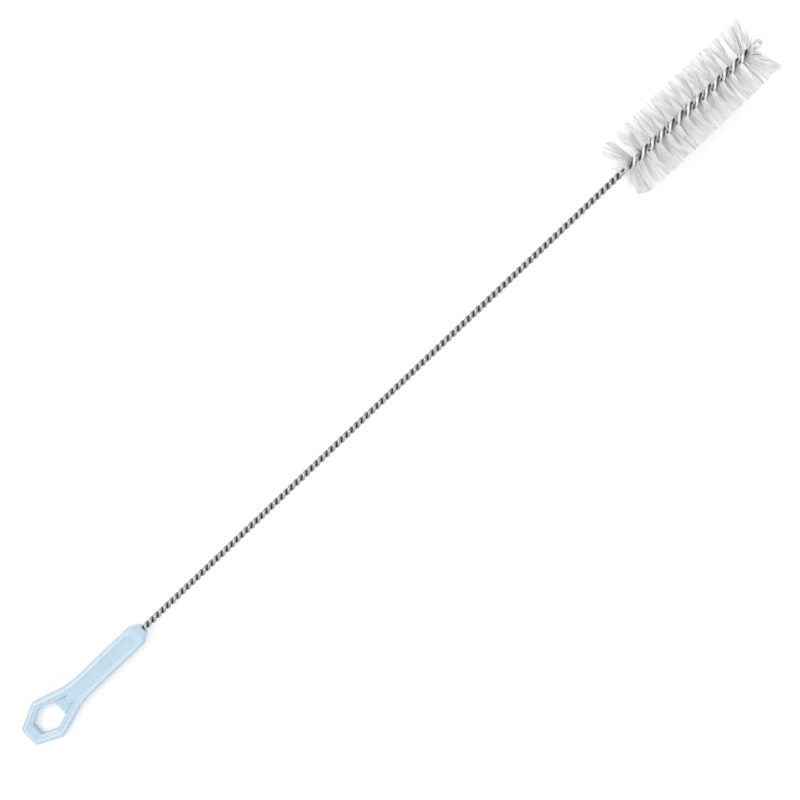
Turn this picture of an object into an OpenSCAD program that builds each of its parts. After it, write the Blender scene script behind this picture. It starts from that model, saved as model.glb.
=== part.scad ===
// Bottle brush: moulded handle, folded and twisted wire, and a head of filaments.
// Millimetres, lying as it comes to rest: +X from the handle to the tip, +Z up.
// The origin is under the middle of the overall length, on the surface it lies on.

/* [Wire] */
// Diameter of the one steel wire that is folded and twisted on itself
wire_d = 1.7; // [1.2:0.05:2.4]
// Space left between the two strands of the bare twist
strand_gap = 0.06; // [0.06:0.02:0.2]
// Slope of the strands against the axis in the bare twist
shaft_lay = 41.3; // [25:0.1:43]
// Bare twist from the nose of the handle to the first filament
shaft_len = 302; // [120:1:420]
// Length over which the bare twist opens into the head
open_len = 3; // [2:0.5:10]
// Slope of the strands against the axis in the head
head_lay = 36.5; // [25:0.1:40]
// Twist direction, minus one is left-handed
twist_dir = -1; // [-1, 1]
// Loop past the last filament, where the wire folds back
eye_len = 5.8; // [5:0.1:14]
// Roll of the plane of that loop about the brush axis
eye_roll = 20; // [-180:5:180]

/* [Head] */
// Diameter over the filament tips
head_d = 30; // [16:0.5:60]
// Length of wire that carries filaments
fill_len = 73.5; // [40:0.5:140]
// Space between the strands that the filaments fill
fill_gap = 0.84; // [0.6:0.02:1.4]
// Play between the two layers of filament bundles
fill_play = 0.03; // [0.02:0.01:0.08]
// Play between a layer and the strand beside it
fill_seat = 0.06; // [0.05:0.01:0.1]
// Space between neighbouring bundles of one layer
fill_space = 0.12; // [0.1:0.01:0.4]
// Greatest lean of a bundle towards its neighbours
fan_deg = 8; // [0:0.5:10]

/* [Handle] */
// Length from the ring end to the nose
handle_len = 74; // [64:0.5:110]
// Thickness over the rims
handle_t = 6; // [5.6:0.1:9]
// Width of the grip
grip_w = 10.6; // [9.6:0.1:16]
// Width across the two side corners of the ring
ring_w = 21.6; // [19:0.1:30]
// Length of the flat end of the ring
ring_end = 9.9; // [6:0.1:11]
// From the flat end to the side corners
ring_x = 12.5; // [10.5:0.1:15]
// From the flat end to the middle of the neck
neck_x = 30.5; // [29:0.5:36]
// Half the length of the soft bend at the neck
neck_soft = 3; // [1:0.25:4]
// Radius of the rounded outer edges
edge_r = 1.6; // [1.2:0.1:2.4]
// Flat left along the crest of each rim
crest_w = 0.3; // [0.2:0.05:0.6]
// Width of the ring rim along the sides
rim_w = 4.2; // [3.4:0.1:5]
// Width of the ring rim along the flat end
rim_end = 5.6; // [4:0.1:6.4]
// Fall of the rim from its crest to the eye
rim_fall = 0.8; // [0.2:0.1:1.2]
// Thickness of the web between the arms
web_t = 2.4; // [1.6:0.1:3.2]
// Where the web starts, which is the straight side of the eye
web_x = 20.3; // [18:0.1:22]
// Depth of the flat panel on each face of the grip
panel_deep = 0.4; // [0.2:0.05:0.6]
// Width of the sloped inner side of the grip rims
panel_slope = 0.9; // [0.5:0.1:1.6]
// Plain block left between the panel and the nose
block_len = 2.4; // [1.5:0.1:6]
// Length of the tapered nose
nose_len = 4.5; // [3:0.1:8]
// Width of the nose where the wire comes out
nose_w = 5.4; // [5:0.1:7]
// Thickness of the nose where the wire comes out
nose_t = 4.9; // [4.8:0.1:5.4]
// Diameter of the round pad at the neck
pad_d = 4.2; // [3:0.1:5]
// Diameter of the dish in that pad
dish_d = 3; // [1.5:0.1:3.6]
// Depth of the dish in that pad
pad_dish = 0.3; // [0.1:0.05:0.5]

/* [Fit] */
// Depth of the socket that holds the twisted wire
socket_deep = 26; // [15:0.5:30]
// Radial clearance of the wire in the socket
socket_fit = 0.05; // [0.03:0.01:0.15]

/* [Hidden] */
deg_per_rad = 180 / PI;
wire_r = wire_d / 2;
wire_sides = 6;
// Six flats at this radius keep the strands apart where their chords pass
flat_r = 1.05 * wire_r;
shaft_r = wire_r + strand_gap / 2;
head_r = wire_r + fill_gap / 2;
shaft_rings = 7;
head_rings = 10;
shaft_pitch = 360 * shaft_r / deg_per_rad / tan(shaft_lay);
head_pitch = 360 * head_r / deg_per_rad / tan(head_lay);
// Furthest point of a strand from the axis of the bare twist
lobe_r = norm([shaft_r + flat_r * cos(30), flat_r * sin(30)]);
bundle_d = (fill_gap - fill_play) / 2 - fill_seat;
bundle_off = (bundle_d + fill_play) / 2;
bundles = floor(fill_len / (bundle_d + fill_space));
bundle_step = fill_len / bundles;

x_nose = handle_len - nose_len;
x_panel = x_nose - block_len;
x_pocket = neck_x - neck_soft;
x_wire = handle_len - socket_deep + wire_d;
x_open = handle_len + shaft_len - open_len;
x_fill = handle_len + shaft_len;
x_end = x_fill + fill_len;
x_loop = x_end + eye_len - head_r - wire_r;
total_len = x_end + eye_len;
loop_len = x_loop - x_end;
bore_d = 2 * (lobe_r + socket_fit);

// The ring end and the first row of filament tips bear on the surface
lie_deg = asin((head_d - handle_t) / 2 / x_fill);
lie_up = edge_r + (handle_t / 2 - edge_r) * cos(lie_deg) - edge_r * sin(lie_deg);

arm_deg = atan((ring_w - grip_w) / 2 / (neck_x - ring_x));
end_deg = atan((ring_w - ring_end) / 2 / ring_x);
half = handle_t / 2;
edge_flats = 5;
pad_t = handle_t - panel_deep;
outline = [
  [0, ring_end / 2],
  [ring_x, ring_w / 2],
  [neck_x - neck_soft, grip_w / 2 + neck_soft * tan(arm_deg)],
  [neck_x + neck_soft, grip_w / 2],
  [x_nose, grip_w / 2]
];

handle();
wire();
bristles();

function unit(v) = v / norm(v);
function turn_open(s) = s / head_pitch + s * s / (2 * open_len) * (1 / shaft_pitch - 1 / head_pitch);
function turn_loop(s) = (s - s * s / (2 * loop_len)) / head_pitch;
// Turns from the last filament, counted along the axis
function turns(x) =
  x > x_end ? turn_loop(x - x_end) :
  x >= x_fill ? (x - x_end) / head_pitch :
  x >= x_open ? -fill_len / head_pitch - turn_open(x_fill - x) :
  -fill_len / head_pitch - turn_open(open_len) - (x_open - x) / shaft_pitch;
function angle(x) = eye_roll + twist_dir * 360 * (turns(x) - turn_loop(loop_len));
function ease(s) = s * s * (3 - 2 * s);
function radius(x) =
  x >= x_fill ? head_r :
  x <= x_open ? shaft_r :
  shaft_r + (head_r - shaft_r) * ease((x - x_open) / open_len);
function spoke(a) = [0, cos(a), sin(a)];
function ramp(a, b, n) = [for (i = [0 : n - 1]) a + (b - a) * i / n];

// Places a child from the brush axis into the lying position
module lie() {
  translate([-total_len * cos(lie_deg) / 2, 0, lie_up])
    rotate([0, -lie_deg, 0])
      children();
}

// Section of a side of the moulding: u inwards from its rounded outer edge
module edge_section(deep) {
  turn = [for (i = [0 : edge_flats]) 90 * i / edge_flats];
  upper = [for (a = turn) [edge_r - edge_r * cos(a), half - edge_r + edge_r * sin(a)]];
  lower = [for (i = [0 : edge_flats]) [upper[edge_flats - i][0], -upper[edge_flats - i][1]]];
  polygon(concat(upper, [[deep, half], [deep, -half]], lower));
}

// Section above a slope that falls inwards from the crest of a side
module slope_section(fall) {
  u = edge_r + crest_w;
  deep = neck_x + ring_w;
  polygon([[u - 1, half + fall], [u + deep, half - deep * fall], [u + deep, half + fall]]);
}

// Runs a section along the line from p to q, with its inner side on the right
module along(p, q) {
  run = q - p;
  translate([p[0], p[1], 0])
    rotate([0, 0, atan2(run[1], run[0])])
      mirror([0, 1, 0])
        translate([-ring_w, 0, 0])
          rotate([90, 0, 90])
            linear_extrude(norm(run) + 2 * ring_w) children();
}

// The two mirrored halves of the outline share each side
module both_sides(p, q) {
  intersection() {
    along(p, q) children();
    mirror([0, 1, 0]) along(p, q) children();
  }
}

module end_side() {
  along([0, -ring_end / 2], [0, ring_end / 2]) children();
}

// Stretch of the length that the parts below are cut to
module stretch(x0, x1, z0, z1) {
  translate([x0, -ring_w, z0]) cube([x1 - x0, 2 * ring_w, z1 - z0]);
}

// Solid ring and arms, before they are opened
module ring_body() {
  intersection() {
    end_side() edge_section(neck_x + ring_w);
    both_sides(outline[0], outline[1]) edge_section(2 * ring_w);
    both_sides(outline[1], outline[2]) edge_section(2 * ring_w);
    stretch(-1, neck_x + 2 * neck_soft, -handle_t, handle_t);
  }
}

// Soft bend between the arms and the grip
module neck_body() {
  intersection() {
    both_sides(outline[2], outline[3]) edge_section(2 * ring_w);
    stretch(neck_x - 2 * neck_soft, neck_x + 2 * neck_soft, -handle_t, handle_t);
  }
}

// Grip with its tapered nose: end, plan and side views cut one bar
module grip_body() {
  lead = block_len / 2;
  plan = grip_w / 2 + lead * (grip_w - nose_w) / 2 / nose_len;
  side = half + lead * (handle_t - nose_t) / 2 / nose_len;
  intersection() {
    both_sides(outline[3], outline[4]) edge_section(2 * ring_w);
    linear_extrude(2 * handle_t, center = true)
      polygon([
        [x_pocket, -plan],
        [x_nose - lead, -plan],
        [handle_len, -nose_w / 2],
        [handle_len, nose_w / 2],
        [x_nose - lead, plan],
        [x_pocket, plan]
      ]);
    rotate([90, 0, 0])
      linear_extrude(2 * grip_w, center = true)
        polygon([
          [x_pocket - 1, -side],
          [x_nose - lead, -side],
          [handle_len, -nose_t / 2],
          [handle_len, nose_t / 2],
          [x_nose - lead, side],
          [x_pocket - 1, side]
        ]);
  }
}

// Slopes of the rim round the eye, on the upper face
module ring_dish() {
  fall = rim_fall / (rim_w - edge_r - crest_w);
  intersection() {
    end_side() slope_section(fall);
    both_sides(outline[0], outline[1]) slope_section(fall);
    both_sides(outline[1], outline[2]) slope_section(fall);
    stretch(0, x_pocket, half - rim_fall, handle_t);
  }
}

// Flat panel of the grip with its sloped border, on the upper face
module panel_dish() {
  fall = panel_deep / panel_slope;
  intersection() {
    union() {
      both_sides(outline[1], outline[2]) slope_section(fall);
      both_sides(outline[2], outline[3]) slope_section(fall);
      both_sides(outline[3], outline[4]) slope_section(fall);
    }
    stretch(x_pocket - 1, x_panel, half - panel_deep, handle_t);
  }
}

// Half width inside the rims at x, along the slanted sides and along the arms
function in_slant(x) = ring_end / 2 - rim_w / cos(end_deg) + x * tan(end_deg);
function in_arm(x) = grip_w / 2 + (neck_x - x) * tan(arm_deg) - rim_w / cos(arm_deg);

// Plan of the space inside the rims, up to x
module eye_plan(x) {
  corner = (in_arm(0) - in_slant(0)) / (tan(end_deg) + tan(arm_deg));
  polygon([
    [rim_end, -in_slant(rim_end)],
    [corner, -in_slant(corner)],
    [x, -in_arm(x)],
    [x, in_arm(x)],
    [corner, in_slant(corner)],
    [rim_end, in_slant(rim_end)]
  ]);
}

// One moulding: hexagonal hanging ring, arms with a web, panelled grip and nose
module handle() {
  color([0.66, 0.81, 0.91]) lie() difference() {
    union() {
      difference() {
        union() {
          ring_body();
          neck_body();
          grip_body();
        }
        linear_extrude(2 * handle_t, center = true) eye_plan(web_x);
        for (face = [0, 1]) mirror([0, 0, face]) {
          ring_dish();
          panel_dish();
          translate([0, 0, web_t / 2]) linear_extrude(handle_t) eye_plan(x_pocket);
        }
      }
      translate([x_pocket, 0, 0]) cylinder(h = pad_t, d = pad_d, center = true, $fn = 48);
    }
    for (face = [0, 1]) mirror([0, 0, face])
      translate([x_pocket, 0, pad_t / 2 - pad_dish]) cylinder(h = handle_t, d = dish_d, $fn = 48);
    translate([handle_len - socket_deep, 0, 0])
      rotate([0, 90, 0])
        cylinder(h = socket_deep + 1, d = bore_d, $fn = 48);
  }
}

// One round wire: up the first strand, round the loop and back down the second
module wire() {
  shaft_n = ceil((x_open - x_wire) / shaft_pitch * shaft_rings);
  head_n = ceil(fill_len / head_pitch * head_rings);
  loop_n = 7;
  xs = concat(
    ramp(x_wire, x_open, shaft_n),
    ramp(x_open, x_fill, 4),
    ramp(x_fill, x_end, head_n),
    ramp(x_end, x_loop, 3),
    [x_loop]
  );
  n = len(xs);
  bend = [for (i = [1 : loop_n - 1]) 180 * i / loop_n];
  out = concat(
    [for (x = xs) spoke(angle(x))],
    [for (b = bend) cos(b) * spoke(angle(x_loop)) + [sin(b), 0, 0]],
    [for (i = [1 : n]) -spoke(angle(xs[n - i]))]
  );
  mid = concat(
    [for (x = xs) [x, 0, 0] + radius(x) * spoke(angle(x))],
    [for (i = [0 : loop_n - 2]) [x_loop, 0, 0] + head_r * out[n + i]],
    [for (i = [1 : n]) [xs[n - i], 0, 0] - radius(xs[n - i]) * spoke(angle(xs[n - i]))]
  );
  last = len(mid) - 1;
  rings = [for (i = [0 : last])
    let (along = unit(mid[min(i + 1, last)] - mid[max(i - 1, 0)]))
    let (up = unit(out[i] - (out[i] * along) * along))
    let (side = cross(along, up))
    for (k = [0 : wire_sides - 1])
      let (a = (k + 0.5) * 360 / wire_sides)
      mid[i] + flat_r * (cos(a) * up + sin(a) * side)
  ];
  w = wire_sides;
  skin = [for (i = [0 : last - 1], k = [0 : w - 1])
    let (a = i * w + k, b = i * w + (k + 1) % w)
    each [[a, a + w, b + w], [a, b + w, b]]
  ];
  caps = [[for (k = [0 : w - 1]) k], [for (k = [1 : w]) last * w + w - k]];
  color([0.62, 0.63, 0.64]) lie() polyhedron(points = rings, faces = concat(skin, caps));
}

// Filament bundles in two layers between the strands, leaning apart as fans
module bristles() {
  color([0.95, 0.95, 0.94]) lie()
    for (i = [0 : bundles - 1], layer = [-1, 1]) {
      x = x_fill + (i + 0.5) * bundle_step;
      lean = layer * twist_dir * fan_deg * (i % 2 == 0 ? 1 : 0.3);
      translate([x, 0, 0])
        rotate([angle(x), 0, 0])
          translate([0, layer * bundle_off, 0])
            rotate([0, lean, 0])
              cylinder(h = head_d, d = bundle_d, center = true, $fn = 16);
    }
}
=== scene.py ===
"""Looks of a bottle brush: moulded handle, twisted wire and a head of fine filaments.

Shapes are built in millimetres along the brush axis, from the flat end of the ring to
the tip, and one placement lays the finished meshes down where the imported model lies.
"""
import logging
import math
import random
from dataclasses import dataclass, field
from enum import Enum

import bmesh
import bpy
from mathutils import Matrix, Vector


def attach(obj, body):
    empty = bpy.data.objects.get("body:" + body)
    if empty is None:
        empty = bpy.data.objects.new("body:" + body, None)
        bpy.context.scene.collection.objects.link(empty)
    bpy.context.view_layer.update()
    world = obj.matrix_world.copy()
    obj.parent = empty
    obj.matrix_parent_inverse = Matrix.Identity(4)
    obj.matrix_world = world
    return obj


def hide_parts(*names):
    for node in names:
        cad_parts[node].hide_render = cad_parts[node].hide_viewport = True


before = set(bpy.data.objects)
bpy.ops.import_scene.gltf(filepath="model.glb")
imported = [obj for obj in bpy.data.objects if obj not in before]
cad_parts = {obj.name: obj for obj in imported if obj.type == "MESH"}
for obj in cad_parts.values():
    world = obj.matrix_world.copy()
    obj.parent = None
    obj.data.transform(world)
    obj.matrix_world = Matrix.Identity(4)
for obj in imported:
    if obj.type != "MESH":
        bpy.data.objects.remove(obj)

LOG = logging.getLogger("bottle_brush")
MM = 0.001
BODY = "root"
AXIS = Vector((1.0, 0.0, 0.0))


class Slot(Enum):
    """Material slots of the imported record."""

    PLASTIC = "handle_plastic"
    STEEL = "wire_steel"
    NYLON = "filament_nylon"


class Node(Enum):
    """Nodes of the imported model."""

    HANDLE = "handle"
    WIRE = "wire"
    BRISTLES = "bristles"


@dataclass(frozen=True)
class Layout:
    """Driving lengths along the brush, in millimetres, and how it lies."""

    handle_len: float = 74.0
    shaft_len: float = 302.0
    fill_len: float = 73.5
    eye_len: float = 5.8
    head_d: float = 30.0
    handle_t: float = 6.0
    edge_r: float = 1.6

    @property
    def x_fill(self) -> float:
        """Start of the filled head."""
        return self.handle_len + self.shaft_len

    @property
    def x_end(self) -> float:
        """End of the filled head."""
        return self.x_fill + self.fill_len

    @property
    def total_len(self) -> float:
        """Overall length along the axis."""
        return self.x_end + self.eye_len

    def placement(self) -> Matrix:
        """Finds the matrix that lays the brush on the floor.

        Returns:
            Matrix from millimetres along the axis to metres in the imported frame.
        """
        lie = math.asin((self.head_d - self.handle_t) / 2 / self.x_fill)
        flat = self.handle_t / 2 - self.edge_r
        rise = self.edge_r + flat * math.cos(lie) - self.edge_r * math.sin(lie)
        shift = Vector((-self.total_len * math.cos(lie) / 2, 0.0, rise))
        turn = Matrix.Rotation(-lie, 4, "Y")
        return Matrix.Scale(MM, 4) @ Matrix.Translation(shift) @ turn


class NodeTree:
    """Small helper that adds shader nodes and links them."""

    def __init__(self, name: str) -> None:
        """Starts an empty material.

        Args:
            name: Name of the material.
        """
        self.material = bpy.data.materials.new(name)
        self.material.use_nodes = True
        self.tree = self.material.node_tree
        self.tree.nodes.clear()

    def add(self, kind: str, **values: object) -> bpy.types.Node:
        """Adds a node.

        Args:
            kind: Type name of the node without its ShaderNode prefix.
            **values: Properties to set on the node.

        Returns:
            The new node.
        """
        made = self.tree.nodes.new("ShaderNode" + kind)
        for key, value in values.items():
            setattr(made, key, value)
        return made

    def link(self, source: bpy.types.NodeSocket, target: bpy.types.NodeSocket) -> None:
        """Links an output to an input."""
        self.tree.links.new(source, target)

    def surface(self, **sockets: object) -> bpy.types.Node:
        """Adds the main shader and the output.

        Args:
            **sockets: Values of the shader's sockets, with spaces as underscores.

        Returns:
            The main shader.
        """
        shader = self.add("BsdfPrincipled")
        output = self.add("OutputMaterial")
        for key, value in sockets.items():
            shader.inputs[key.replace("_", " ")].default_value = value
        self.link(shader.outputs["BSDF"], output.inputs["Surface"])
        return shader

    def noise(self, scale: float, detail: float = 3.0, stretch: Vector | None = None) -> bpy.types.Node:
        """Adds a noise on object coordinates.

        Args:
            scale: Scale of the noise, in cycles a metre.
            detail: Detail of the noise.
            stretch: Scale of each axis, or None.

        Returns:
            The noise node.
        """
        place = self.add("TexCoord")
        made = self.add("TexNoise")
        made.inputs["Scale"].default_value = scale
        made.inputs["Detail"].default_value = detail
        source = place.outputs["Object"]
        if stretch is not None:
            mapping = self.add("Mapping")
            mapping.inputs["Scale"].default_value = stretch
            self.link(source, mapping.inputs["Vector"])
            source = mapping.outputs["Vector"]
        self.link(source, made.inputs["Vector"])
        return made

    def ramp(self, source: bpy.types.NodeSocket, stops: list[tuple[float, tuple]]) -> bpy.types.Node:
        """Adds a colour ramp.

        Args:
            source: Value that drives the ramp.
            stops: Positions and colours in order.

        Returns:
            The ramp node.
        """
        made = self.add("ValToRGB")
        elements = made.color_ramp.elements
        while len(elements) < len(stops):
            elements.new(0.5)
        for element, (position, colour) in zip(elements, stops):
            element.position = position
            element.color = (*colour, 1.0)
        self.link(source, made.inputs["Fac"])
        return made

    def bump(
        self,
        height: bpy.types.NodeSocket,
        distance: float,
        strength: float,
        shader: bpy.types.Node,
    ) -> None:
        """Links a bump to the shader.

        Args:
            height: Height of the relief.
            distance: Depth of the relief in metres.
            strength: Strength of the relief.
            shader: The main shader.
        """
        made = self.add("Bump")
        made.inputs["Distance"].default_value = distance
        made.inputs["Strength"].default_value = strength
        self.link(height, made.inputs["Height"])
        self.link(made.outputs["Normal"], shader.inputs["Normal"])


@dataclass(frozen=True)
class PlasticFinish:
    """Pale blue moulded plastic, satin and slightly translucent, with a painted highlight along the
    crests and on the pad.
    """

    light: tuple = (0.505, 0.65, 0.755)
    deep: tuple = (0.47, 0.625, 0.735)
    painted_light: tuple = (0.59, 0.725, 0.81, 1.0)
    roughness: float = 0.2

    def material(self) -> bpy.types.Material:
        """Builds the material."""
        tree = NodeTree("pale_blue_plastic")
        shader = tree.surface(Roughness=self.roughness, IOR=1.49, Coat_Weight=0.25, Coat_Roughness=0.12)
        shader.inputs["Subsurface Weight"].default_value = 0.25
        shader.inputs["Subsurface Radius"].default_value = (0.6, 0.8, 1.0)
        shader.inputs["Subsurface Scale"].default_value = 1.5 * MM
        cloud = tree.noise(160.0, 2.0)
        colour = tree.ramp(cloud.outputs["Fac"], [(0.3, self.deep), (0.7, self.light)])
        # Painted highlight: the crest attribute mixes a paler colour onto the crests and the pad.
        crest = tree.add("Attribute", attribute_name="crest")
        mix = tree.add("Mix", data_type="RGBA")
        mix.inputs[7].default_value = self.painted_light
        tree.link(crest.outputs["Fac"], mix.inputs["Factor"])
        tree.link(colour.outputs["Color"], mix.inputs[6])
        tree.link(mix.outputs[2], shader.inputs["Base Color"])
        grain = tree.noise(2600.0, 2.0)
        tree.bump(grain.outputs["Fac"], 0.02 * MM, 0.25, shader)
        return tree.material


@dataclass(frozen=True)
class SteelFinish:
    """Drawn steel, with painted shade in the groove between the strands and a painted highlight on the
    crown.
    """

    groove: tuple = (0.1, 0.1, 0.1)
    side: tuple = (0.22, 0.22, 0.22)
    crown: tuple = (0.4, 0.4, 0.396)
    bright: tuple = (0.94, 0.94, 0.93)

    def material(self) -> bpy.types.Material:
        """Builds the material."""
        tree = NodeTree("drawn_steel")
        shader = tree.surface(Metallic=1.0)
        height = tree.add("Attribute", attribute_name="crown")
        # Painted light from the crown attribute: painted shade towards the groove, painted highlight on
        # the crown.
        colour = tree.ramp(
            height.outputs["Fac"],
            [(0.06, self.groove), (0.22, self.side), (0.7, self.crown), (0.98, self.bright)],
        )
        tree.link(colour.outputs["Color"], shader.inputs["Base Color"])
        streak = tree.noise(900.0, 4.0, Vector((0.25, 1.0, 1.0)))
        rough = tree.ramp(streak.outputs["Fac"], [(0.3, (0.22,) * 3), (0.7, (0.34,) * 3)])
        tree.link(rough.outputs["Color"], shader.inputs["Roughness"])
        tree.bump(streak.outputs["Fac"], 0.02 * MM, 0.3, shader)
        return tree.material


@dataclass(frozen=True)
class NylonFinish:
    """Fine white nylon, a little warmer and duller towards the wire, with painted shade between the fans.
    """

    root: tuple = (0.993, 0.987, 0.981)
    tip: tuple = (0.999, 0.997, 0.994)
    painted_shade: tuple = (0.965, 0.957, 0.949)
    white: tuple = (1.0, 1.0, 1.0)
    scatter: float = 0.2

    def material(self) -> bpy.types.Material:
        """Builds the material."""
        tree = NodeTree("white_nylon")
        shader = tree.surface(Roughness=0.42, IOR=1.53, Subsurface_Weight=1.0)
        shader.inputs["Subsurface Radius"].default_value = (1.0, 1.0, 1.0)
        shader.inputs["Subsurface Scale"].default_value = self.scatter * MM
        reach = tree.add("Attribute", attribute_name="reach")
        colour = tree.ramp(reach.outputs["Fac"], [(0.05, self.root), (0.45, self.tip)])
        # Painted shade: the tone attribute greys the filaments between the fans.
        tone = tree.add("Attribute", attribute_name="tone")
        shade = tree.ramp(tone.outputs["Fac"], [(0.0, self.painted_shade), (1.0, self.white)])
        mix = tree.add("Mix", data_type="RGBA", blend_type="MULTIPLY")
        mix.inputs["Factor"].default_value = 1.0
        tree.link(colour.outputs["Color"], mix.inputs[6])
        tree.link(shade.outputs["Color"], mix.inputs[7])
        tree.link(mix.outputs[2], shader.inputs["Base Color"])
        return tree.material


def join(bm: bmesh.types.BMesh, part: bmesh.types.BMesh) -> None:
    """Adds a part to a mesh and frees the part."""
    mesh = bpy.data.meshes.new("part")
    part.to_mesh(mesh)
    part.free()
    bm.from_mesh(mesh)
    bpy.data.meshes.remove(mesh)


@dataclass
class Piece:
    """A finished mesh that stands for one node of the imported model."""

    layout: Layout

    def place(self, bm: bmesh.types.BMesh, name: str, node: Node, slot: Slot) -> bpy.types.Object:
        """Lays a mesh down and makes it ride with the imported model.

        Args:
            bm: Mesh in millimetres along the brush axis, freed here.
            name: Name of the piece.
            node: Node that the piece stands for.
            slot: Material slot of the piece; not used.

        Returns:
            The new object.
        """
        bmesh.ops.transform(bm, matrix=self.layout.placement(), verts=bm.verts)
        for face in bm.faces:
            face.smooth = True
        mesh = bpy.data.meshes.new(name)
        bm.to_mesh(mesh)
        bm.free()
        piece = bpy.data.objects.new(name, mesh)
        bpy.context.scene.collection.objects.link(piece)
        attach(piece, BODY)
        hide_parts(node.value)
        LOG.info("%s: %d faces", name, len(mesh.polygons))
        return piece


@dataclass
class TwistedWire(Piece):
    """One round wire, folded into a loop at the tip and twisted on itself."""

    wire_d: float = 1.7
    strand_gap: float = 0.06
    shaft_lay: float = 41.3
    open_len: float = 3.0
    head_lay: float = 36.5
    fill_gap: float = 0.84
    eye_roll: float = 20.0
    twist_dir: int = -1
    x_wire: float = 49.7
    sides: int = 12
    shaft_rings: int = 20
    head_rings: int = 28
    bend_rings: int = 14
    weld: float = 0.01
    stem_painted_light: float = 0.75
    loop_painted_light: float = 0.84

    def __post_init__(self) -> None:
        """Works out radii, pitches and places from the driving sizes."""
        self.wire_r = self.wire_d / 2
        self.shaft_r = self.wire_r + self.strand_gap / 2
        self.head_r = self.wire_r + self.fill_gap / 2
        self.shaft_pitch = 2 * math.pi * self.shaft_r / math.tan(math.radians(self.shaft_lay))
        self.head_pitch = 2 * math.pi * self.head_r / math.tan(math.radians(self.head_lay))
        self.x_fill = self.layout.x_fill
        self.x_open = self.x_fill - self.open_len
        self.x_end = self.layout.x_end
        self.x_loop = self.layout.total_len - self.head_r - self.wire_r
        self.loop_len = self.x_loop - self.x_end

    def turn_open(self, s: float) -> float:
        """Turns over a distance s back from the head."""
        change = 1 / self.shaft_pitch - 1 / self.head_pitch
        return s / self.head_pitch + s * s / (2 * self.open_len) * change

    def turn_loop(self, s: float) -> float:
        """Turns over a distance s past the last filament."""
        return (s - s * s / (2 * self.loop_len)) / self.head_pitch

    def turns(self, x: float) -> float:
        """Turns at x, counted from the last filament."""
        if x > self.x_end:
            return self.turn_loop(x - self.x_end)
        if x >= self.x_fill:
            return (x - self.x_end) / self.head_pitch
        head = -self.layout.fill_len / self.head_pitch
        if x >= self.x_open:
            return head - self.turn_open(self.x_fill - x)
        return head - self.turn_open(self.open_len) - (self.x_open - x) / self.shaft_pitch

    def angle(self, x: float) -> float:
        """Angle of the first strand about the axis at x, in radians."""
        turns = self.turns(x) - self.turn_loop(self.loop_len)
        return math.radians(self.eye_roll) + self.twist_dir * 2 * math.pi * turns

    def radius(self, x: float) -> float:
        """Distance of a strand's middle from the axis at x."""
        if x >= self.x_fill:
            return self.head_r
        if x <= self.x_open:
            return self.shaft_r
        s = (x - self.x_open) / self.open_len
        return self.shaft_r + (self.head_r - self.shaft_r) * s * s * (3 - 2 * s)

    def middle(self, x: float, side: int) -> Vector:
        """Middle of a strand at x, where side is 1 on the way out and -1 on the way back."""
        a = self.angle(x)
        return Vector((x, side * self.radius(x) * math.cos(a), side * self.radius(x) * math.sin(a)))

    def station(self, x: float, side: int) -> Matrix:
        """Frame of the wire's section at x.

        Args:
            x: Place along the axis.
            side: 1 on the way out and -1 on the way back.

        Returns:
            Matrix whose third axis runs along the wire.
        """
        step = 0.01
        run = side * (self.middle(x + step, side) - self.middle(x - step, side))
        a = self.angle(x)
        out = Vector((0.0, side * math.cos(a), side * math.sin(a)))
        return self.section_frame(self.middle(x, side), run, out)

    def loop_station(self, bend: float) -> Matrix:
        """Frame of the wire's section in the loop, bend radians round it."""
        a = self.angle(self.x_loop)
        spoke = Vector((0.0, math.cos(a), math.sin(a)))
        out = math.cos(bend) * spoke + math.sin(bend) * AXIS
        run = -math.sin(bend) * spoke + math.cos(bend) * AXIS
        return self.section_frame(self.x_loop * AXIS + self.head_r * out, run, out)

    @staticmethod
    def section_frame(middle: Vector, run: Vector, out: Vector) -> Matrix:
        """Builds a frame from a place, a direction and the outer side."""
        run = run.normalized()
        up = (out - out.dot(run) * run).normalized()
        turn = Matrix((up, run.cross(up), run)).transposed()
        return Matrix.Translation(middle) @ turn.to_4x4()

    def section(self, bm: bmesh.types.BMesh, station: Matrix) -> list:
        """Adds a round section of the wire.

        Args:
            bm: Mesh to add to.
            station: Frame of the section.

        Returns:
            Vertices and edges of the section.
        """
        made = bmesh.ops.create_circle(bm, segments=self.sides, radius=self.wire_r, matrix=station)
        return made["verts"] + list({edge for vert in made["verts"] for edge in vert.link_edges})

    def helix(self, bm: bmesh.types.BMesh, x0: float, x1: float, side: int, rings: float) -> None:
        """Spins a strand along a stretch of even pitch, about a turn at a time.

        Args:
            bm: Mesh to add to.
            x0: Start of the stretch.
            x1: End of the stretch.
            side: 1 on the way out and -1 on the way back.
            rings: Sections in one turn.
        """
        turns = abs(self.angle(x1) - self.angle(x0)) / (2 * math.pi)
        parts = math.ceil(turns)
        steps = math.ceil(rings * turns / parts)
        run = (x1 - x0) / parts
        for i in range(parts):
            start = x0 + i * run
            turn = bmesh.new()
            bmesh.ops.spin(
                turn,
                geom=self.section(turn, self.station(start, side)),
                cent=Vector(),
                axis=AXIS,
                dvec=AXIS * run / steps,
                angle=self.angle(start + run) - self.angle(start),
                steps=steps,
            )
            join(bm, turn)

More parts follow.
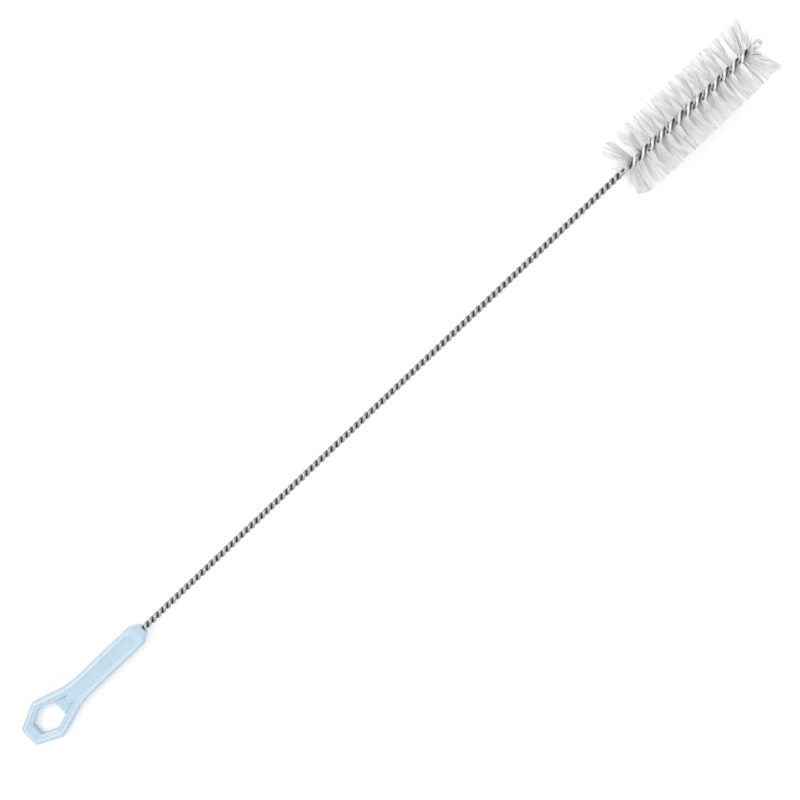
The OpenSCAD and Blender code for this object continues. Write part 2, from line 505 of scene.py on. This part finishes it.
    def follow(self, bm: bmesh.types.BMesh, frames: list[Matrix]) -> None:
        """Extrudes a section through a row of frames.

        Args:
            bm: Mesh to add to.
            frames: Frames of the section along the way.
        """
        bend = bmesh.new()
        ring = self.section(bend, frames[0])
        for before, after in zip(frames, frames[1:]):
            edges = [part for part in ring if isinstance(part, bmesh.types.BMEdge)]
            ring = bmesh.ops.extrude_edge_only(bend, edges=edges)["geom"]
            verts = [part for part in ring if isinstance(part, bmesh.types.BMVert)]
            bmesh.ops.transform(bend, matrix=after @ before.inverted(), verts=verts)
        join(bm, bend)

    def stations(self, x0: float, x1: float, side: int) -> list[Matrix]:
        """Frames from x0 to x1, both included."""
        steps = self.bend_rings
        return [self.station(x0 + (x1 - x0) * i / steps, side) for i in range(steps + 1)]

    def build(self) -> bpy.types.Object:
        """Builds both strands and the loop that joins them."""
        bm = bmesh.new()
        for side in (1, -1):
            self.helix(bm, self.x_wire, self.x_open, side, self.shaft_rings)
            self.follow(bm, self.stations(self.x_open, self.x_fill, side))
            self.helix(bm, self.x_fill, self.x_end, side, self.head_rings)
            self.follow(bm, self.stations(self.x_end, self.x_loop, side))
        bends = [math.pi * i / self.bend_rings for i in range(self.bend_rings + 1)]
        self.follow(bm, [self.loop_station(bend) for bend in bends])
        bmesh.ops.remove_doubles(bm, verts=bm.verts, dist=self.weld)
        bmesh.ops.holes_fill(bm, edges=bm.edges, sides=self.sides)
        bmesh.ops.recalc_face_normals(bm, faces=bm.faces)
        self.mark_crown(bm)
        piece = self.place(bm, "twisted_wire", Node.WIRE, Slot.STEEL)
        piece.data.materials.append(SteelFinish().material())
        return piece

    def mark_crown(self, bm: bmesh.types.BMesh) -> None:
        """Stores how far out each point of the wire lies, and so how much painted light it gets.

        The mark is 0 at the axis and 1 on the crown in the head, and lower on the stem, so the head gets
        a painted reflection of the filaments.
        """
        crown = bm.verts.layers.float.new("crown")
        for vert in bm.verts:
            reach = self.radius(vert.co.x) + self.wire_r
            far = math.hypot(vert.co.y, vert.co.z) / reach
            head = min(1.0, max(0.0, (vert.co.x - self.x_open) / self.open_len))
            painted_light = self.stem_painted_light + (1 - self.stem_painted_light) * head
            # The loop gets one level of painted light throughout.
            in_loop = vert.co.x > self.x_end + self.loop_len / 2
            vert[crown] = self.loop_painted_light if in_loop else far * painted_light


@dataclass
class FilamentHead(Piece):
    """Fine filaments that the twist grips between its strands."""

    wire: TwistedWire = field(default=None)
    clumps_a_turn: int = 54
    clump_size: int = 3
    end_crowd: float = 0.7
    filament_r: float = 0.12
    tip_drop: float = 0.5
    fan_deg: float = 11.0
    fan_share: float = 0.33
    fan_tight: float = 5.0
    fan_gain: float = 5.4
    flare_gain: float = 2.7
    rise_deg: float = 11.0
    lean_deg: float = 1.9
    clump_spread_deg: float = 1.1
    clump_len: float = 0.3
    end_lean_deg: float = 21.0
    end_room: float = 1.4
    end_loose: float = 0.1
    end_len: float = 9.0
    end_hold: float = 3.5
    painted_shade: float = 0.3
    tone_spread: float = 0.15
    bend_most: float = 0.55
    sides: int = 4
    patterns: int = 12
    joints: int = 4
    seed: int = 7

    def pattern(self, rng: random.Random, own_tone: float) -> bpy.types.Mesh:
        """Makes one filament, standing up along Z with a slight bend.

        Args:
            rng: Source of its bend.
            own_tone: Its tone, from 0 for painted shade to 1 for white.

        Returns:
            Mesh of the filament, in millimetres.
        """
        bm = bmesh.new()
        length = self.layout.head_d / 2
        ring = bmesh.ops.create_circle(bm, segments=self.sides, radius=self.filament_r)["verts"]
        edges = list({edge for vert in ring for edge in vert.link_edges})
        bend = rng.uniform(0.0, self.bend_most)
        for i in range(self.joints):
            made = bmesh.ops.extrude_edge_only(bm, edges=edges)["geom"]
            edges = [part for part in made if isinstance(part, bmesh.types.BMEdge)]
            verts = [part for part in made if isinstance(part, bmesh.types.BMVert)]
            aside = bend * (((i + 1) / self.joints) ** 2 - (i / self.joints) ** 2)
            bmesh.ops.translate(bm, vec=Vector((aside, 0.0, length / self.joints)), verts=verts)
        bmesh.ops.holes_fill(bm, edges=bm.edges, sides=self.sides)
        bmesh.ops.recalc_face_normals(bm, faces=bm.faces)
        reach = bm.verts.layers.float.new("reach")
        tone = bm.verts.layers.float.new("tone")
        for vert in bm.verts:
            vert[reach] = vert.co.z / length
            vert[tone] = own_tone
        mesh = bpy.data.meshes.new("filament")
        bm.to_mesh(mesh)
        bm.free()
        return mesh

    def near_end(self, x: float) -> float:
        """How near x is to an end of the head, from -1 at its start to 1 at the tip."""
        fall = self.end_len - self.end_hold
        start = (self.layout.x_fill + self.end_len - x) / fall
        tip = (x - self.layout.x_end + self.end_len) / fall
        return min(1.0, max(0.0, tip)) - min(1.0, max(0.0, start))

    def fan(self, x: float, tight: float) -> float:
        """How near the filaments at x are to the middle of a fan, up to 1."""
        return math.exp(-tight * (1 + math.cos(2 * self.wire.angle(x))))

    def rise(self, x: float) -> float:
        """How near the filaments at x are to straight up and down, up to 1."""
        return math.exp(-self.fan_tight / 2 * (1 - math.cos(2 * self.wire.angle(x))))

    def flare(self, x: float) -> float:
        """Lean at x, in degrees, that spreads the fans on all sides of the wire."""
        turn = -self.wire.twist_dir * math.sin(2 * self.wire.angle(x)) * self.flare_gain
        rise = self.rise_deg * self.rise(x) * (1 - abs(self.near_end(x)))
        return turn * (self.fan_deg * self.fan(x, self.fan_tight / 2) - rise)

    def crowd(self, x: float) -> float:
        """How close the clumps stand at x, where 1 is about the mean."""
        fans = 1 + self.fan_share * (self.fan_gain * self.fan(x, self.fan_tight) - 1)
        return fans * (1 + self.end_crowd * abs(self.near_end(x)))

    def build(self) -> bpy.types.Object:
        """Builds the head, clump by clump along the wire."""
        rng = random.Random(self.seed)
        patterns = [self.pattern(rng, i / (self.patterns - 1)) for i in range(self.patterns)]
        bm = bmesh.new()
        step = self.wire.head_pitch / self.clumps_a_turn
        x_clump = self.layout.x_fill
        while x_clump < self.layout.x_end:
            end = self.near_end(x_clump)
            for half in (0.0, math.pi):
                lean = rng.gauss(self.flare(x_clump), self.lean_deg) + self.end_lean_deg * end
                for _ in range(self.clump_size):
                    x = x_clump + rng.uniform(-0.5, 0.5) * self.clump_len
                    self.add_filament(bm, rng, patterns, x, half, lean)
            x_clump += step / self.crowd(x_clump)
        piece = self.place(bm, "filament_head", Node.BRISTLES, Slot.NYLON)
        piece.data.materials.append(NylonFinish().material())
        for mesh in patterns:
            bpy.data.meshes.remove(mesh)
        return piece

    def add_filament(
        self,
        bm: bmesh.types.BMesh,
        rng: random.Random,
        patterns: list[bpy.types.Mesh],
        x: float,
        half: float,
        lean: float,
    ) -> None:
        """Adds one filament.

        Args:
            bm: Mesh to add to.
            rng: Source of its small differences.
            patterns: Filaments to choose from, from painted shade to white.
            x: Place along the axis.
            half: Turn to the side of the wire that it stands on.
            lean: Lean of its clump in degrees.
        """
        free = self.wire.fill_gap / 2 - self.filament_r
        layer = rng.uniform(-free, free)
        room = (self.layout.total_len - self.end_room - x) / (self.layout.head_d / 2)
        most = math.asin(min(1.0, room)) - abs(rng.gauss(0.0, self.end_loose))
        tilt = min(most, math.radians(lean + rng.gauss(0.0, self.clump_spread_deg)))
        stray = math.radians(rng.gauss(0.0, self.clump_spread_deg))
        scale = 1.0 - rng.random() ** 3 * self.tip_drop / self.layout.head_d
        turn = (
            Matrix.Translation((x, 0.0, 0.0))
            @ Matrix.Rotation(self.wire.angle(x) + half, 4, "X")
            @ Matrix.Translation((0.0, layer, 0.0))
            @ Matrix.Rotation(tilt, 4, "Y")
            @ Matrix.Rotation(stray, 4, "X")
            @ Matrix.Scale(scale, 4)
            @ Matrix.Rotation(rng.uniform(0.0, 2 * math.pi), 4, "Z")
        )
        # Painted shade: filaments away from the middle of a fan get a duller tone, plus a random spread.
        near = max(self.fan(x, self.fan_tight / 2), self.rise(x))
        tone = self.painted_shade + (1 - self.painted_shade) * near + rng.gauss(0.0, self.tone_spread)
        copy = patterns[round(min(1.0, max(0.0, tone)) * (len(patterns) - 1))].copy()
        copy.transform(turn)
        bm.from_mesh(copy)
        bpy.data.meshes.remove(copy)


@dataclass(frozen=True)
class Corner:
    """A corner of a flat outline and the radius that rounds it."""

    x: float
    y: float
    radius: float


@dataclass(frozen=True)
class Outline:
    """A closed flat outline, symmetrical about the brush axis.

    Its corners are given for the upper half, from the ring end onwards.
    """

    corners: tuple[Corner, ...]

    def closed(self) -> list[Corner]:
        """All corners, along the lower half and back along the upper one."""
        lower = [Corner(c.x, -c.y, c.radius) for c in self.corners]
        return lower + list(reversed(self.corners))

    def inset(self, depth: float, ends: tuple[float, float], least: float) -> list[Corner]:
        """Moves every side inwards.

        Args:
            depth: Distance that the long sides move.
            ends: Distances that the sides at the ring end and the far end move.
            least: Smallest radius of a rounded corner.

        Returns:
            Corners of the smaller outline, all the way round.
        """
        full = self.closed()
        count = len(full)
        depths = [depth] * count
        depths[count // 2 - 1] = ends[1]
        depths[-1] = ends[0]
        sides = []
        for i, corner in enumerate(full):
            after = full[(i + 1) % count]
            run = Vector((after.x - corner.x, after.y - corner.y)).normalized()
            inwards = Vector((-run.y, run.x))
            sides.append((Vector((corner.x, corner.y)) + depths[i] * inwards, run))
        made = []
        for i, corner in enumerate(full):
            (p, run), (q, after) = sides[i - 1], sides[i]
            turn = run.cross(after)
            meet = p + run * ((q - p).cross(after) / turn)
            radius = corner.radius - depth if turn > 0 else corner.radius + depth
            made.append(Corner(meet.x, meet.y, max(radius, least)))
        return made


def add_loop(bm: bmesh.types.BMesh, corners: list[Corner], z: float, segments: int) -> list:
    """Adds a loop of edges with rounded corners.

    Args:
        bm: Mesh to add to.
        corners: Corners of the loop in order.
        z: Height of the loop.
        segments: Edges in each rounded corner.

    Returns:
        The new edges.
    """
    flat = bmesh.new()
    verts = [flat.verts.new((c.x, c.y, z)) for c in corners]
    flat.faces.new(verts)
    points = [Vector((c.x, c.y)) for c in corners]
    for i, (vert, corner) in enumerate(zip(verts, corners)):
        before = points[i] - points[i - 1]
        after = points[(i + 1) % len(points)] - points[i]
        reach = corner.radius * math.tan(abs(before.angle_signed(after)) / 2)
        bmesh.ops.bevel(
            flat,
            geom=[vert],
            offset=reach,
            affect="VERTICES",
            segments=segments,
            profile=0.5,
            material=-1,
        )
    bmesh.ops.delete(flat, geom=flat.faces[:], context="FACES_ONLY")
    mesh = bpy.data.meshes.new("loop")
    flat.to_mesh(mesh)
    flat.free()
    known = set(bm.edges)
    bm.from_mesh(mesh)
    bpy.data.meshes.remove(mesh)
    return [edge for edge in bm.edges if edge not in known]


@dataclass
class MouldedHandle(Piece):
    """One moulding: hexagonal hanging ring, arms with a web, panelled grip and nose."""

    grip_w: float = 10.6
    ring_w: float = 21.6
    ring_end: float = 9.9
    ring_x: float = 12.5
    neck_x: float = 30.5
    neck_soft: float = 3.0
    crest_w: float = 0.3
    rim_w: float = 4.2
    rim_end: float = 5.6
    rim_fall: float = 0.8
    web_t: float = 2.4
    web_x: float = 20.3
    panel_deep: float = 0.4
    panel_slope: float = 0.9
    panel_soft: float = 0.12
    block_len: float = 2.4
    nose_len: float = 4.5
    nose_w: float = 5.4
    nose_t: float = 4.9
    pad_d: float = 4.2
    dish_d: float = 3.0
    pad_dish: float = 0.3
    pip_r: float = 0.4
    socket_deep: float = 26.0
    bore_d: float = 3.6
    ring_round: float = 2.4
    end_round: float = 1.3
    neck_round: float = 8.0
    nose_round: float = 3.6
    tip_round: float = 2.0
    panel_round: float = 3.9
    nose_steps: int = 5
    eye_round: float = 0.7
    eye_edge: float = 0.3
    least_round: float = 0.3
    crest_fade: float = 0.07
    nose_edge: float = 0.4
    segments: int = 6
    edge_steps: int = 6
    sharp_deg: float = 38.0

    def __post_init__(self) -> None:
        """Works out places and outlines from the driving sizes."""
        self.half = self.layout.handle_t / 2
        self.edge_r = self.layout.edge_r
        self.x_nose = self.layout.handle_len - self.nose_len
        self.x_panel = self.x_nose - self.block_len
        self.x_pocket = self.neck_x - self.neck_soft
        self.floor_z = self.half - self.panel_deep
        self.slope = (self.ring_w - self.grip_w) / 2 / (self.neck_x - self.ring_x)
        self.neck_y = self.grip_w / 2 + self.neck_soft * self.slope
        self.crest_u = self.edge_r + self.crest_w
        ring = (
            Corner(0.0, self.ring_end / 2, self.end_round),
            Corner(self.ring_x, self.ring_w / 2, self.ring_round),
        )
        neck = (
            Corner(self.x_pocket, self.neck_y, self.neck_round),
            Corner(self.neck_x + self.neck_soft, self.grip_w / 2, self.neck_round),
        )
        nose = (
            Corner(self.x_nose, self.grip_w / 2, self.nose_round),
            Corner(self.layout.handle_len, self.nose_w / 2, self.tip_round),
        )
        self.outside = Outline(ring + neck + nose)
        self.panel = Outline(ring + neck + (Corner(self.x_panel, self.grip_w / 2, self.panel_round),))
        self.eye = Outline(ring + (Corner(self.x_pocket, self.neck_y, self.ring_round),))

    def skin(self, bm: bmesh.types.BMesh) -> list:
        """Adds the rounded outer wall of the upper half.

        Args:
            bm: Mesh to add to.

        Returns:
            Edges of the loop at the crest.
        """
        levels = [(0.0, 0.0)]
        for i in range(self.edge_steps + 1):
            a = math.pi / 2 * i / self.edge_steps
            levels.append((self.edge_r * (1 - math.cos(a)), self.half - self.edge_r * (1 - math.sin(a))))
        last = None
        for u, z in levels:
            corners = self.outside.inset(u, (u, u * self.nose_edge), self.least_round)
            loop = add_loop(bm, corners, z, self.segments)
            if last:
                bmesh.ops.bridge_loops(bm, edges=last + loop)
            last = loop
        return last

    def recess(self, bm: bmesh.types.BMesh, crest: list) -> list:
        """Adds the crest and the slope down to the panel.

        Args:
            bm: Mesh to add to.
            crest: Edges of the loop at the crest.

        Returns:
            Edges of the loop round the panel's floor.
        """
        last = None
        for share in (0.0, 0.2, 0.4, 0.6, 0.8, 1.0):
            u = self.crest_u + (self.panel_slope + self.panel_soft) * share
            z = self.half - self.panel_deep * share * share * (3 - 2 * share)
            corners = self.panel.inset(u, (u, u - self.crest_u), self.least_round)
            loop = add_loop(bm, corners, z, self.segments)
            if last:
                bmesh.ops.bridge_loops(bm, edges=last + loop)
            else:
                self.fill(bm, crest + loop)
            last = loop
        return last

    def rim(self, bm: bmesh.types.BMesh, floor: list) -> list:
        """Adds the panel's floor and the rim's fall into the eye.

        Args:
            bm: Mesh to add to.
            floor: Edges of the loop round the panel's floor.

        Returns:
            Edges of the loop at the foot of the eye's wall.
        """
        start = self.crest_u + self.panel_slope + self.panel_soft + self.least_round / 2
        low = self.half - self.rim_fall
        levels = [(start, start, self.floor_z)]
        levels.append((self.rim_w - self.eye_edge, self.rim_end - self.eye_edge, low + self.eye_edge / 2))
        for i in range(1, 4):
            a = math.pi / 2 * i / 3
            back = self.eye_edge * (1 - math.sin(a))
            drop = self.eye_edge * (1 - math.cos(a)) / 2
            levels.append((self.rim_w - back, self.rim_end - back, low - drop))
        levels.append((self.rim_w, self.rim_end, self.web_t / 2))
        last = None
        for side, end, z in levels:
            corners = self.eye.inset(side, (end, 0.0), self.eye_round)
            loop = add_loop(bm, corners, z, self.segments)
            if last:
                bmesh.ops.bridge_loops(bm, edges=last + loop)
            else:
                self.fill(bm, floor + loop)
            last = loop
        return last

    @staticmethod
    def fill(bm: bmesh.types.BMesh, edges: list) -> None:
        """Fills a flat region between loops and dissolves its inner edges."""
        made = bmesh.ops.triangle_fill(bm, edges=edges, use_beauty=True, normal=Vector((0.0, 0.0, 1.0)))
        faces = [part for part in made["geom"] if isinstance(part, bmesh.types.BMFace)]
        inner = {edge for face in faces for edge in face.edges if edge not in set(edges)}
        bmesh.ops.dissolve_limit(bm, angle_limit=math.radians(0.5), edges=list(inner), verts=[])

    def web(self, bm: bmesh.types.BMesh, foot: list) -> None:
        """Fills the foot of the eye with the web and opens the rest of it.

        Args:
            bm: Mesh to add to.
            foot: Edges of the loop at the foot of the eye's wall.
        """
        face = bmesh.ops.contextual_create(bm, geom=foot)["faces"][0]
        geom = [face] + list(face.edges) + list(face.verts)
        bmesh.ops.bisect_plane(bm, geom=geom, plane_co=Vector((self.web_x, 0.0, 0.0)), plane_no=AXIS)
        z = self.web_t / 2
        flat = [f for f in bm.faces if all(abs(v.co.z - z) < 1e-5 for v in f.verts)]
        open_face = min(flat, key=lambda f: f.calc_center_median().x)
        border = list(open_face.edges)
        bmesh.ops.delete(bm, geom=[open_face], context="FACES_ONLY")
        made = bmesh.ops.extrude_edge_only(bm, edges=border)["geom"]
        verts = [part for part in made if isinstance(part, bmesh.types.BMVert)]
        bmesh.ops.translate(bm, vec=Vector((0.0, 0.0, -z)), verts=verts)

    def taper_nose(self, bm: bmesh.types.BMesh) -> None:
        """Thins the nose towards the wire in a smooth curve."""
        for i in range(self.nose_steps):
            x = self.x_nose + self.nose_len * i / self.nose_steps
            geom = bm.verts[:] + bm.edges[:] + bm.faces[:]
            bmesh.ops.bisect_plane(bm, geom=geom, plane_co=x * AXIS, plane_no=AXIS)
        thin = 1 - self.nose_t / self.layout.handle_t
        for vert in bm.verts:
            share = max(0.0, vert.co.x - self.x_nose) / self.nose_len
            vert.co.z *= 1 - thin * share * share

    def tool(self, bm: bmesh.types.BMesh, name: str) -> bpy.types.Object:
        """Turns a mesh into an object that shapes the moulding and is then removed."""
        mesh = bpy.data.meshes.new(name)
        bm.to_mesh(mesh)
        bm.free()
        made = bpy.data.objects.new(name, mesh)
        bpy.context.scene.collection.objects.link(made)
        return made

    def on_ridge(self, edge: bmesh.types.BMEdge, radius: float) -> bool:
        """Tells whether an edge runs round the pad at a radius."""
        far = [math.hypot(v.co.x - self.x_pocket, v.co.y) for v in edge.verts]
        level = abs(edge.verts[0].co.z - edge.verts[1].co.z) < 1e-4
        return max(abs(f - radius) for f in far) < 1e-3 and level

    def pad(self) -> bpy.types.Object:
        """Makes the round pad at the neck, dished on both faces."""
        bm = bmesh.new()
        matrix = Matrix.Translation((self.x_pocket, 0.0, 0.0))
        r = self.pad_d / 2
        deep = 2 * self.floor_z + self.panel_deep
        bmesh.ops.create_cone(
            bm, cap_ends=True, segments=48, radius1=r, radius2=r, depth=deep, matrix=matrix
        )
        caps = [face for face in bm.faces if len(face.verts) > 4]
        width = (self.pad_d - self.dish_d) / 2
        bmesh.ops.inset_region(bm, faces=caps, thickness=width)
        ridge = [edge for edge in bm.edges if self.on_ridge(edge, r) or self.on_ridge(edge, r - width)]
        bmesh.ops.inset_region(bm, faces=caps, thickness=self.pad_dish / 2, depth=-self.pad_dish)
        bmesh.ops.inset_region(bm, faces=caps, thickness=self.dish_d / 2 - self.pad_dish / 2 - self.pip_r)
        bmesh.ops.inset_region(bm, faces=caps, thickness=self.pip_r / 2, depth=self.pad_dish / 2)
        bmesh.ops.bevel(
            bm,
            geom=ridge,
            offset=width * 0.4,
            affect="EDGES",
            segments=4,
            profile=0.5,
            material=-1,
        )
        return self.tool(bm, "pad")

    def bore(self) -> bpy.types.Object:
        """Makes the round space that holds the wire."""
        bm = bmesh.new()
        deep = self.socket_deep + 1
        middle = self.layout.handle_len - self.socket_deep + deep / 2
        matrix = Matrix.Translation((middle, 0.0, 0.0)) @ Matrix.Rotation(math.pi / 2, 4, "Y")
        r = self.bore_d / 2
        bmesh.ops.create_cone(
            bm, cap_ends=True, segments=40, radius1=r, radius2=r, depth=deep, matrix=matrix
        )
        return self.tool(bm, "bore")

    def shape(self) -> bmesh.types.BMesh:
        """Builds the moulding in millimetres along the axis."""
        bm = bmesh.new()
        crest = self.skin(bm)
        floor = self.recess(bm, crest)
        foot = self.rim(bm, floor)
        self.web(bm, foot)
        self.taper_nose(bm)
        bmesh.ops.remove_doubles(bm, verts=bm.verts, dist=1e-4)
        bmesh.ops.mirror(bm, geom=bm.verts[:] + bm.edges[:] + bm.faces[:], merge_dist=1e-3, axis="Z")
        bmesh.ops.remove_doubles(bm, verts=bm.verts, dist=1e-4)
        bmesh.ops.recalc_face_normals(bm, faces=bm.faces)
        body = self.tool(bm, "moulding")
        shaped = bmesh.new()
        tools = [(self.pad(), "UNION"), (self.bore(), "DIFFERENCE")]
        for other, operation in tools:
            step = body.modifiers.new(other.name, "BOOLEAN")
            step.object = other
            step.operation = operation
            step.solver = "EXACT"
        graph = bpy.context.evaluated_depsgraph_get()
        done = bpy.data.meshes.new_from_object(body.evaluated_get(graph))
        shaped.from_mesh(done)
        bpy.data.meshes.remove(done)
        for spent in [body] + [other for other, _ in tools]:
            bpy.data.meshes.remove(spent.data)
        return shaped

    def mark_crest(self, bm: bmesh.types.BMesh) -> None:
        """Stores how much painted highlight each point of the moulding gets, 1 on the crests and the pad.
        """
        crest = bm.verts.layers.float.new("crest")
        pad_z = self.floor_z + self.panel_deep / 2
        # Painted highlight along the crests, weaker on the nose block.
        for vert in bm.verts:
            high = abs(vert.co.z)
            near = 1 - abs(high - self.half) / self.crest_fade
            block = min(1.0, max(0.0, vert.co.x - self.x_panel + 1))
            vert[crest] = max(0.0, near) * (1 - 0.6 * block)
            # Painted highlight ring on the pad's ridge.
            if math.hypot(vert.co.x - self.x_pocket, vert.co.y) < self.pad_d / 2 + self.crest_fade:
                vert[crest] = max(0.0, 1 - abs(high - pad_z) / self.crest_fade)

    def build(self) -> bpy.types.Object:
        """Builds and dresses the handle."""
        bm = self.shape()
        self.mark_crest(bm)
        piece = self.place(bm, "moulded_handle", Node.HANDLE, Slot.PLASTIC)
        piece.data.set_sharp_from_angle(angle=math.radians(self.sharp_deg))
        weighted = piece.modifiers.new("weighted", "WEIGHTED_NORMAL")
        weighted.keep_sharp = True
        piece.data.materials.append(PlasticFinish().material())
        return piece


@dataclass
class Studio:
    """Floor, soft light and camera at the photograph's viewing angle."""

    layout: Layout
    image_px: int = 800
    focal_px: float = 2200.0
    distance: float = 0.9863
    middle_px: tuple = (387.0, 396.4)
    roll_deg: float = 43.57
    tau_deg: float = 3.9
    side_deg: float = -2.0
    floor_side: float = 8.0
    sky: float = 1.1
    sky_tones: tuple = ((0.19, 0.15), (0.42, 1.0), (0.85, 1.0), (0.99, 0.8))
    backdrop_top: float = 0.2
    floor_glow: float = 0.24
    key_share: float = 0.18
    key_height_deg: float = 60.0
    key_angle_deg: float = 22.0
    key_aside: float = -0.2
    sensor: float = 36.0

    def build(self) -> None:
        """Builds the whole stage."""
        self.add_floor()
        self.add_world()
        self.add_key()
        self.add_camera()

    def add_floor(self) -> None:
        """Adds a plain pale floor."""
        bm = bmesh.new()
        bmesh.ops.create_grid(bm, x_segments=1, y_segments=1, size=self.floor_side / 2)
        mesh = bpy.data.meshes.new("floor")
        bm.to_mesh(mesh)
        bm.free()
        floor = bpy.data.objects.new("floor", mesh)
        bpy.context.scene.collection.objects.link(floor)
        tree = NodeTree("pale_floor")
        shader = tree.surface(Roughness=1.0, Specular_IOR_Level=0.0)
        cloud = tree.noise(3.0, 1.0)
        colour = tree.ramp(cloud.outputs["Fac"], [(0.0, (0.89,) * 3), (1.0, (0.91,) * 3)])
        tree.link(colour.outputs["Color"], shader.inputs["Base Color"])
        path = tree.add("LightPath")
        seen = tree.add("Math", operation="ADD")
        tree.link(path.outputs["Is Camera Ray"], seen.inputs[0])
        tree.link(path.outputs["Is Glossy Ray"], seen.inputs[1])
        also = tree.add("Math", operation="ADD")
        tree.link(seen.outputs[0], also.inputs[0])
        tree.link(path.outputs["Is Transmission Ray"], also.inputs[1])
        glow = tree.add("Math", operation="MULTIPLY", use_clamp=True)
        glow.inputs[1].default_value = self.floor_glow
        tree.link(also.outputs[0], glow.inputs[0])
        shader.inputs["Emission Color"].default_value = (1.0, 1.0, 1.0, 1.0)
        tree.link(glow.outputs[0], shader.inputs["Emission Strength"])
        mesh.materials.append(tree.material)

    def add_world(self) -> None:
        """Adds soft light from above and all sides, over a white backdrop at the horizon."""
        world = bpy.data.worlds.new("studio")
        world.use_nodes = True
        bpy.context.scene.world = world
        tree = world.node_tree
        tree.nodes.clear()
        place = tree.nodes.new("ShaderNodeTexCoord")
        split = tree.nodes.new("ShaderNodeSeparateXYZ")
        tree.links.new(place.outputs["Generated"], split.inputs[0])
        level = tree.nodes.new("ShaderNodeValToRGB")
        level.color_ramp.interpolation = "EASE"
        for i, (height, tone) in enumerate(self.sky_tones):
            if i >= len(level.color_ramp.elements):
                level.color_ramp.elements.new(height)
            level.color_ramp.elements[i].position = height
            level.color_ramp.elements[i].color = (tone, tone, tone, 1.0)
        tree.links.new(split.outputs["Z"], level.inputs["Fac"])
        light = tree.nodes.new("ShaderNodeBackground")
        light.inputs["Strength"].default_value = self.sky
        tree.links.new(level.outputs["Color"], light.inputs["Color"])
        path = tree.nodes.new("ShaderNodeLightPath")
        low = tree.nodes.new("ShaderNodeMath")
        low.operation = "LESS_THAN"
        low.inputs[1].default_value = self.backdrop_top
        tree.links.new(split.outputs["Z"], low.inputs[0])
        seen = None
        for name in ("Is Camera Ray", "Is Glossy Ray", "Is Transmission Ray"):
            step = tree.nodes.new("ShaderNodeMath")
            step.operation = "MULTIPLY_ADD"
            tree.links.new(path.outputs[name], step.inputs[0])
            tree.links.new(low.outputs[0], step.inputs[1])
            step.inputs[2].default_value = 0.0
            if seen is not None:
                tree.links.new(seen, step.inputs[2])
            seen = step.outputs[0]
        backdrop = tree.nodes.new("ShaderNodeBackground")
        mix = tree.nodes.new("ShaderNodeMixShader")
        tree.links.new(seen, mix.inputs["Fac"])
        tree.links.new(light.outputs["Background"], mix.inputs[1])
        tree.links.new(backdrop.outputs["Background"], mix.inputs[2])
        backdrop.inputs["Color"].default_value = (1.0, 1.0, 1.0, 1.0)
        output = tree.nodes.new("ShaderNodeOutputWorld")
        tree.links.new(mix.outputs[0], output.inputs["Surface"])

    def add_key(self) -> None:
        """Adds one very soft lamp, far off on the far side of the brush."""
        lamp = bpy.data.lights.new("key", "SUN")
        lamp.angle = math.radians(self.key_angle_deg)
        height = math.radians(self.key_height_deg)
        lamp.energy = self.key_share * math.pi / math.sin(height)
        key = bpy.data.objects.new("key", lamp)
        towards = Vector((self.key_aside, math.cos(height), math.sin(height)))
        key.rotation_mode = "QUATERNION"
        key.rotation_quaternion = towards.to_track_quat("Z", "Y")
        key.location = towards
        bpy.context.scene.collection.objects.link(key)

    def add_camera(self) -> None:
        """Adds the camera so that the middle of the brush lands on its pixel."""
        place = self.layout.placement()
        middle = place @ (self.layout.total_len / 2 * AXIS)
        tau, side, roll = (math.radians(a) for a in (self.tau_deg, self.side_deg, self.roll_deg))
        back = Vector((math.sin(tau), -math.cos(tau) * math.sin(side), math.cos(tau) * math.cos(side)))
        line = place.to_3x3() @ AXIS
        line = (line - line.dot(back) * back).normalized()
        across = back.cross(line)
        right = math.cos(roll) * line - math.sin(roll) * across
        up = math.sin(roll) * line + math.cos(roll) * across
        pixel = self.distance / self.focal_px
        half = self.image_px / 2
        eye = middle + back * self.distance
        eye = eye - right * (self.middle_px[0] - half) * pixel - up * (half - self.middle_px[1]) * pixel
        lens = bpy.data.cameras.new("camera")
        lens.sensor_width = self.sensor
        lens.lens = self.sensor * self.focal_px / self.image_px
        lens.clip_start = 0.05
        camera = bpy.data.objects.new("camera", lens)
        turn = Matrix((right, up, back)).transposed().to_4x4()
        camera.matrix_world = Matrix.Translation(eye) @ turn
        bpy.context.scene.collection.objects.link(camera)
        bpy.context.scene.camera = camera


def main() -> None:
    """Builds the brush and its stage."""
    logging.basicConfig(level=logging.INFO)
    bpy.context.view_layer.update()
    layout = Layout()
    wire = TwistedWire(layout)
    wire.build()
    FilamentHead(layout, wire).build()
    MouldedHandle(layout).build()
    Studio(layout).build()
    bpy.context.scene.view_settings.view_transform = "Standard"


if __name__ == "__main__":
    main()
